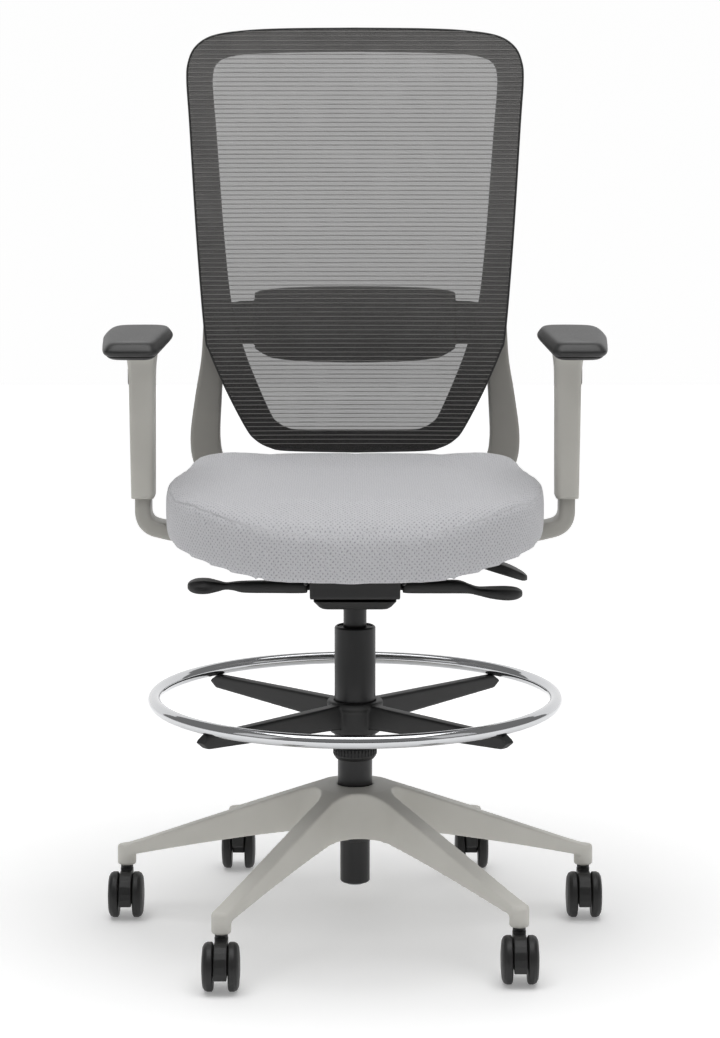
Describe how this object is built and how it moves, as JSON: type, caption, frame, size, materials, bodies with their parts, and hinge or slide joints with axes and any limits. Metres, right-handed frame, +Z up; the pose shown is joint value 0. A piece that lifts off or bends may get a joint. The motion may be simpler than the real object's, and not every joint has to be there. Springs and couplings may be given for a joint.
{
  "type": "drafting chair",
  "caption": "Tall drafting chair with a mesh back and lumbar pad, padded seat, height-adjustable arms, a foot ring on the column and a star base on twin-wheel casters.",
  "frame": {"origin": "on the floor, on the axis of the column, at the middle of the chair's bounding box", "axes": "+Z up; the sitter faces -Y, so the front edge of the seat is at -Y and the back rises at +Y; +X is the left hand of someone who sits in the chair, and the right hand side in a view from the front"},
  "size_m": [0.6978, 0.668, 1.245],
  "materials": {
    "grey_nylon": "satin",
    "grey_cast_aluminium": "satin",
    "black_steel": "satin",
    "black_cast_aluminium": "satin",
    "black_nylon": "satin",
    "bright_steel": "satin",
    "chrome": "polished",
    "seat_fabric": "matte",
    "back_mesh": "matte",
    "frame_nylon": "matte",
    "arm_pad_polyurethane": "satin"
  },
  "bodies": {
    "base": {"base_star": "grey_nylon", "column_tube": "black_steel", "hub_collar": "black_nylon", "column_guide_bush": "black_nylon", "gas_spring_rod": "bright_steel"},
    "foot_ring": {"foot_ring": "chrome", "foot_ring_hub": "black_nylon", "foot_ring_sleeve": "black_nylon", "foot_ring_lock": "black_nylon"},
    "lift": {"gas_spring": "black_steel"},
    "chassis": {"tilt_housing": "black_cast_aluminium", "tilt_housing_cover": "black_nylon", "seat_pivot_pin": "bright_steel", "back_pivot_pin": "bright_steel"},
    "height_lever": {"height_lever": "black_nylon"},
    "tilt_lever": {"tilt_lever": "black_nylon"},
    "seat_frame": {"seat_plate": "black_cast_aluminium", "seat_slide_rail_right": "black_nylon", "seat_slide_rail_left": "black_nylon", "arm_bracket_right": "grey_cast_aluminium", "arm_bracket_left": "grey_cast_aluminium"},
    "seat": {"seat_pan": "black_nylon", "seat_cushion": "seat_fabric"},
    "seat_depth_lever": {"seat_depth_lever": "black_nylon"},
    "arm_right": {"arm_sleeve_right": "grey_nylon", "arm_pad_base_right": "black_nylon", "arm_pad_right": "arm_pad_polyurethane"},
    "arm_left": {"arm_sleeve_left": "grey_nylon", "arm_pad_base_left": "black_nylon", "arm_pad_left": "arm_pad_polyurethane"},
    "arm_button_right": {"arm_button_right": "black_nylon"},
    "arm_button_left": {"arm_button_left": "black_nylon"},
    "back": {"back_yoke": "grey_cast_aluminium", "back_frame": "frame_nylon", "back_mesh": "back_mesh"},
    "lumbar": {"lumbar_pad": "frame_nylon"},
    "caster_front_right": {"caster_front_right_stem": "bright_steel", "caster_front_right_body": "black_nylon"},
    "caster_right": {"caster_right_stem": "bright_steel", "caster_right_body": "black_nylon"},
    "caster_rear_right": {"caster_rear_right_stem": "bright_steel", "caster_rear_right_body": "black_nylon"},
    "caster_rear_left": {"caster_rear_left_stem": "bright_steel", "caster_rear_left_body": "black_nylon"},
    "caster_left": {"caster_left_stem": "bright_steel", "caster_left_body": "black_nylon"},
    "caster_front_left": {"caster_front_left_stem": "bright_steel", "caster_front_left_body": "black_nylon"},
    "caster_front_right_wheel_a": {"caster_front_right_wheel_a": "black_nylon"},
    "caster_front_right_wheel_b": {"caster_front_right_wheel_b": "black_nylon"},
    "caster_right_wheel_a": {"caster_right_wheel_a": "black_nylon"},
    "caster_right_wheel_b": {"caster_right_wheel_b": "black_nylon"},
    "caster_rear_right_wheel_a": {"caster_rear_right_wheel_a": "black_nylon"},
    "caster_rear_right_wheel_b": {"caster_rear_right_wheel_b": "black_nylon"},
    "caster_rear_left_wheel_a": {"caster_rear_left_wheel_a": "black_nylon"},
    "caster_rear_left_wheel_b": {"caster_rear_left_wheel_b": "black_nylon"},
    "caster_left_wheel_a": {"caster_left_wheel_a": "black_nylon"},
    "caster_left_wheel_b": {"caster_left_wheel_b": "black_nylon"},
    "caster_front_left_wheel_a": {"caster_front_left_wheel_a": "black_nylon"},
    "caster_front_left_wheel_b": {"caster_front_left_wheel_b": "black_nylon"}
  },
  "joints": [
    {"name": "seat_height_slide", "type": "slide", "parent": "base", "child": "lift", "axis": [0, 0, 1], "range_m": [0, 0.19]},
    {"name": "seat_swivel", "type": "hinge", "parent": "lift", "child": "chassis", "pos_m": [0, 0, 0.49], "axis": [0, 0, 1], "continuous": true},
    {"name": "back_recline", "type": "hinge", "parent": "chassis", "child": "back", "pos_m": [0, 0.062, 0.489], "axis": [-1, 0, 0], "range_deg": [0, 20], "stiffness_Nm_per_rad": 60, "springref_deg": -20.05},
    {"name": "seat_tilt", "type": "hinge", "parent": "chassis", "child": "seat_frame", "pos_m": [0, -0.092, 0.508], "axis": [-1, 0, 0], "range_deg": [0, 8]},
    {"name": "seat_depth_slide", "type": "slide", "parent": "seat_frame", "child": "seat", "axis": [0, -1, 0], "range_m": [0, 0.05]},
    {"name": "foot_ring_slide", "type": "slide", "parent": "base", "child": "foot_ring", "axis": [0, 0, 1], "range_m": [-0.035, 0.02]},
    {"name": "lumbar_slide", "type": "slide", "parent": "back", "child": "lumbar", "axis": [0, 0, 1], "range_m": [-0.02, 0.02]},
    {"name": "arm_height_slide_right", "type": "slide", "parent": "seat_frame", "child": "arm_right", "axis": [0, 0, 1], "range_m": [-0.01, 0.075]},
    {"name": "arm_height_slide_left", "type": "slide", "parent": "seat_frame", "child": "arm_left", "axis": [0, 0, 1], "range_m": [-0.01, 0.075]},
    {"name": "height_lever_pivot", "type": "hinge", "parent": "chassis", "child": "height_lever", "pos_m": [0.056, -0.06, 0.492], "axis": [0, -1, 0], "range_deg": [0, 8], "stiffness_Nm_per_rad": 3, "springref_deg": -5.73},
    {"name": "tilt_lever_pivot", "type": "hinge", "parent": "chassis", "child": "tilt_lever", "pos_m": [-0.056, -0.06, 0.492], "axis": [0, 1, 0], "range_deg": [0, 8]},
    {"name": "seat_depth_lever_pivot", "type": "hinge", "parent": "seat_frame", "child": "seat_depth_lever", "pos_m": [0.127, 0.002, 0.5267], "axis": [0, -1, 0], "range_deg": [0, 6], "stiffness_Nm_per_rad": 2, "springref_deg": -5.73},
    {"name": "arm_button_press_right", "type": "slide", "parent": "arm_right", "child": "arm_button_right", "axis": [-1, 0, 0], "range_m": [0, 0.002], "stiffness_N_per_m": 500, "springref_m": -0.002},
    {"name": "arm_button_press_left", "type": "slide", "parent": "arm_left", "child": "arm_button_left", "axis": [1, 0, 0], "range_m": [0, 0.002], "stiffness_N_per_m": 500, "springref_m": -0.002},
    {"name": "caster_front_right_swivel", "type": "hinge", "parent": "base", "child": "caster_front_right", "pos_m": [0.2165, -0.24905, 0.085], "axis": [0, 0, 1], "continuous": true},
    {"name": "caster_right_swivel", "type": "hinge", "parent": "base", "child": "caster_right", "pos_m": [0.32394, 0.06297, 0.085], "axis": [0, 0, 1], "continuous": true},
    {"name": "caster_rear_right_swivel", "type": "hinge", "parent": "base", "child": "caster_rear_right", "pos_m": [0.17487, 0.27986, 0.085], "axis": [0, 0, 1], "continuous": true},
    {"name": "caster_rear_left_swivel", "type": "hinge", "parent": "base", "child": "caster_rear_left", "pos_m": [-0.17487, 0.27986, 0.085], "axis": [0, 0, 1], "continuous": true},
    {"name": "caster_left_swivel", "type": "hinge", "parent": "base", "child": "caster_left", "pos_m": [-0.32394, 0.06297, 0.085], "axis": [0, 0, 1], "continuous": true},
    {"name": "caster_front_left_swivel", "type": "hinge", "parent": "base", "child": "caster_front_left", "pos_m": [-0.17487, -0.27986, 0.085], "axis": [0, 0, 1], "continuous": true},
    {"name": "caster_front_right_wheel_a_roll", "type": "hinge", "parent": "caster_front_right", "child": "caster_front_right_wheel_a", "pos_m": [0.2338, -0.27105, 0.0321], "axis": [1, 0, 0], "continuous": true},
    {"name": "caster_front_right_wheel_b_roll", "type": "hinge", "parent": "caster_front_right", "child": "caster_front_right_wheel_b", "pos_m": [0.1992, -0.27105, 0.0321], "axis": [1, 0, 0], "continuous": true},
    {"name": "caster_right_wheel_a_roll", "type": "hinge", "parent": "caster_right", "child": "caster_right_wheel_a", "pos_m": [0.34124, 0.04097, 0.0321], "axis": [1, 0, 0], "continuous": true},
    {"name": "caster_right_wheel_b_roll", "type": "hinge", "parent": "caster_right", "child": "caster_right_wheel_b", "pos_m": [0.30664, 0.04097, 0.0321], "axis": [1, 0, 0], "continuous": true},
    {"name": "caster_rear_right_wheel_a_roll", "type": "hinge", "parent": "caster_rear_right", "child": "caster_rear_right_wheel_a", "pos_m": [0.15757, 0.30186, 0.0321], "axis": [1, 0, 0], "continuous": true},
    {"name": "caster_rear_right_wheel_b_roll", "type": "hinge", "parent": "caster_rear_right", "child": "caster_rear_right_wheel_b", "pos_m": [0.19217, 0.30186, 0.0321], "axis": [1, 0, 0], "continuous": true},
    {"name": "caster_rear_left_wheel_a_roll", "type": "hinge", "parent": "caster_rear_left", "child": "caster_rear_left_wheel_a", "pos_m": [-0.19217, 0.30186, 0.0321], "axis": [1, 0, 0], "continuous": true},
    {"name": "caster_rear_left_wheel_b_roll", "type": "hinge", "parent": "caster_rear_left", "child": "caster_rear_left_wheel_b", "pos_m": [-0.15757, 0.30186, 0.0321], "axis": [1, 0, 0], "continuous": true},
    {"name": "caster_left_wheel_a_roll", "type": "hinge", "parent": "caster_left", "child": "caster_left_wheel_a", "pos_m": [-0.30664, 0.04097, 0.0321], "axis": [1, 0, 0], "continuous": true},
    {"name": "caster_left_wheel_b_roll", "type": "hinge", "parent": "caster_left", "child": "caster_left_wheel_b", "pos_m": [-0.34124, 0.04097, 0.0321], "axis": [1, 0, 0], "continuous": true},
    {"name": "caster_front_left_wheel_a_roll", "type": "hinge", "parent": "caster_front_left", "child": "caster_front_left_wheel_a", "pos_m": [-0.15757, -0.30186, 0.0321], "axis": [1, 0, 0], "continuous": true},
    {"name": "caster_front_left_wheel_b_roll", "type": "hinge", "parent": "caster_front_left", "child": "caster_front_left_wheel_b", "pos_m": [-0.19217, -0.30186, 0.0321], "axis": [1, 0, 0], "continuous": true}
  ],
  "couplings": [
    {"joint": "seat_tilt", "follows": "back_recline", "ratio": 0.4}
  ]
}
